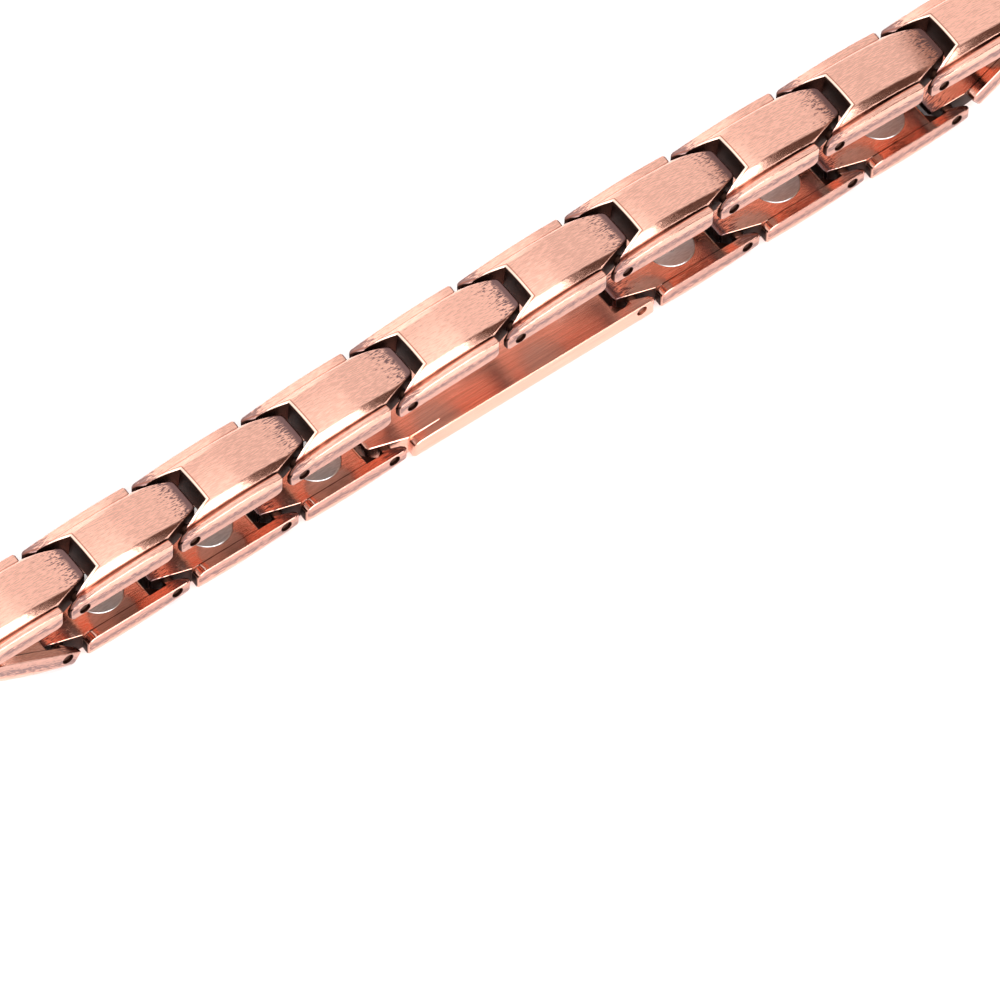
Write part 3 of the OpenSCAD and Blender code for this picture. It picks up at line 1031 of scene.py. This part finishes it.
def brushed_metal(name, colour, dull, patina_and_light=False, bump=0.5, length=0.6, width=0.09):
    """A brushed metal of that colour and roughness, with or without the links' tarnish and painted light.
    """
    material = bpy.data.materials.new(name)
    material.use_nodes = True
    tree = material.node_tree
    shader = tree.nodes["Principled BSDF"]
    shader.inputs["Metallic"].default_value = 1
    place, tone = attribute(tree, "place", "Vector"), attribute(tree, "tone", "Fac")
    grain = use(tree, GRAIN, {"Place": place, "Tone": tone, "Streak length": length, "Streak width": width})
    shade = maths(tree, "ADD", maths(tree, "MULTIPLY", grain["Streaks"], STREAKS_IN_TONE),
                  maths(tree, "MULTIPLY", tone, COPY_IN_TONE))
    darker = maths(tree, "MULTIPLY", fade(tree, shade, *DARK_TONE), DARK_SHARE)
    base = blend(tree, darker, colour, tuple(c * DARKENING for c in colour))
    rough = maths(tree, "ADD", dull, maths(tree, "MULTIPLY", grain["Broad streaks"], GRAIN_DULL))
    if patina_and_light:
        base, rough = with_patina_and_light(tree, place, grain, base, rough)
    tree.links.new(base, shader.inputs["Base Color"])
    tree.links.new(rough, shader.inputs["Roughness"])
    raised = tree.nodes.new("ShaderNodeBump")
    raised.inputs["Strength"].default_value = bump
    raised.inputs["Distance"].default_value = GRAIN_DEPTH * MM
    tree.links.new(grain["Height"], raised.inputs["Height"])
    tree.links.new(raised.outputs[0], shader.inputs["Normal"])
    return material


link_copper = brushed_metal("link_copper", COPPER, dull=0.09, patina_and_light=True)
clasp_copper = brushed_metal("clasp_copper", COPPER, dull=0.2, length=4.0)
pin_copper = brushed_metal("pin_copper", PIN_BROWN, dull=0.4)
magnet_nickel = brushed_metal("magnet_nickel", NICKEL, dull=0.26, bump=0.2)
print("finishes:", [m.name for m in (link_copper, clasp_copper, pin_copper, magnet_nickel)])

# %% [markdown]
# ## The whole bracelet
# Each single piece now becomes a row of copies. Links, pins and magnets are one mesh each, because
# they share a finish, and the clasp is a row of one. Every mesh takes the place of its solids.

# %% Put the pieces on the chain
links = along_chain("links", link_body, LINK_STEPS, link_copper, TONE_SEED)
pins = along_chain("pins", pin_bar, STEPS, pin_copper, TONE_SEED + 1)
magnets = along_chain("magnets", magnet_disc, LINK_STEPS, magnet_nickel, TONE_SEED + 2)
clasp = along_chain("clasp_plate", clasp_body, [STEPS[CLASP_AT]], clasp_copper, TONE_SEED + 3)


def numbered(word, count):
    return [f"{word}_{n:02d}" for n in range(1, count + 1)]


for piece, nodes, slot in ((links, numbered("link", len(LINK_STEPS)), "link_copper"),
                           (pins, numbered("pin", len(STEPS)), "pin_copper"),
                           (magnets, numbered("magnet", len(LINK_STEPS)), "magnet_nickel"),
                           (clasp, ["clasp"], "clasp_copper")):
    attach(piece, "root")
    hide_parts(*nodes)
    print(piece.name, "stands for solids:", len(nodes))

# %% [markdown]
# ## The floor
# A jewellery photo stands on plain white paper. One large pale sheet at the bracelet's feet takes the
# soft shadow and throws light back onto the sides of the links.

# %% Floor
FLOOR_HALF = 3.0
# a hair under the clasp's flat face, so that the two never lie in one plane
FLOOR_Z = -0.02 * MM
PAPER_WHITE = (0.9, 0.9, 0.9, 1)
PAPER_DULL = 0.8

corners = [(x, y, FLOOR_Z) for x, y in ((-FLOOR_HALF, -FLOOR_HALF), (FLOOR_HALF, -FLOOR_HALF),
                                        (FLOOR_HALF, FLOOR_HALF), (-FLOOR_HALF, FLOOR_HALF))]
floor_mesh = bpy.data.meshes.new("floor")
floor_mesh.from_pydata(corners, [], [(0, 1, 2, 3)])
floor = bpy.data.objects.new("floor", floor_mesh)
bpy.context.scene.collection.objects.link(floor)
paper = bpy.data.materials.new("paper")
paper.use_nodes = True
paper_shader = paper.node_tree.nodes["Principled BSDF"]
paper_shader.inputs["Base Color"].default_value = PAPER_WHITE
paper_shader.inputs["Roughness"].default_value = PAPER_DULL
floor_mesh.materials.append(paper)
print("floor, metres across:", 2 * FLOOR_HALF)

# %% [markdown]
# ## Light
# Polished copper shows the room. The room here is a pale one, painted on the world as soft panels:
# three bright ones at the left, whose sharp right sides end the white shine half-way along each
# link, and two dark ones at the right, which give the browns and the smoky tips.

# %% The room
ROOM = (1.04, 1.03, 1.03)
ANYWHERE = (-3, -2, 2, 3)
PANELS = {
    # colour, then for each axis of the direction where the panel begins, is full, fades and ends
    "pale left": ((1.56, 1.55, 1.54), (-0.75, -0.55, 0.33, 0.37), (-3, -2, 0.1, 0.8), ANYWHERE),
    "bright back": ((1.8, 1.8, 1.8), (-0.75, -0.55, 0.30, 0.37), (0.66, 0.71, 2, 3), ANYWHERE),
    "brown front": ((0.12, 0.075, 0.06), (0.33, 0.37, 2, 3), (-3, -2, -0.25, 0.0), ANYWHERE),
    "dim right": ((0.42, 0.31, 0.27), (0.6, 0.68, 2, 3), ANYWHERE, ANYWHERE),
    "white front": ((5.0, 5.0, 5.0), (-0.75, -0.55, 0.33, 0.36), (-3, -2, -0.5, -0.15),
                    (-0.1, -0.05, 2, 3)),
}


def within(tree, value, begins, full, fades, ends):
    """1 between two soft borders and 0 outside them."""
    before = fade(tree, value, begins, full)
    return maths(tree, "MULTIPLY", maths(tree, "SUBTRACT", 1.0, before), fade(tree, value, fades, ends))


world = bpy.data.worlds.new("studio")
world.use_nodes = True
room = world.node_tree
direction = room.nodes.new("ShaderNodeTexCoord").outputs["Generated"]
ways = room.nodes.new("ShaderNodeSeparateXYZ")
room.links.new(direction, ways.inputs[0])
light = ROOM
for colour, *spans in PANELS.values():
    share = 1.0
    for way, span in zip(ways.outputs, spans):
        share = maths(room, "MULTIPLY", share, within(room, way, *span))
    light = blend(room, share, light, colour)
room.links.new(light, room.nodes["Background"].inputs["Color"])
room.nodes["Background"].inputs["Strength"].default_value = 1.0
bpy.context.scene.world = world
bpy.context.scene.view_settings.view_transform = "Standard"
print("panels:", list(PANELS))

# %% [markdown]
# ## Camera
# A long lens far away keeps the links nearly equal in size from one end to the other. Its place was
# found by matching the centres of nine pin bores in the photo. It looks down at a steep angle, with
# the chain running up to the right.

# %% Camera
CAMERA_AT = (-0.36757904, -0.45856447, 0.87460467)
RIGHT = Vector((0.80137495, -0.59766914, 0.02428566))
UP = Vector((0.48881773, 0.6777432, 0.54929171))
BACK = Vector((-0.34475414, -0.42831736, 0.83527769))
LENS = 480.678
SENSOR = 36
CLIP_END = 20

camera = bpy.data.objects.new("camera", bpy.data.cameras.new("camera"))
bpy.context.scene.collection.objects.link(camera)
camera.data.sensor_width = SENSOR
camera.data.lens = LENS
camera.data.clip_end = CLIP_END
turn = Matrix((RIGHT, UP, BACK)).transposed()
camera.matrix_world = Matrix.Translation(CAMERA_AT) @ turn.to_4x4()
bpy.context.scene.camera = camera
print("camera's distance, metres:", round(Vector(CAMERA_AT).length, 2))
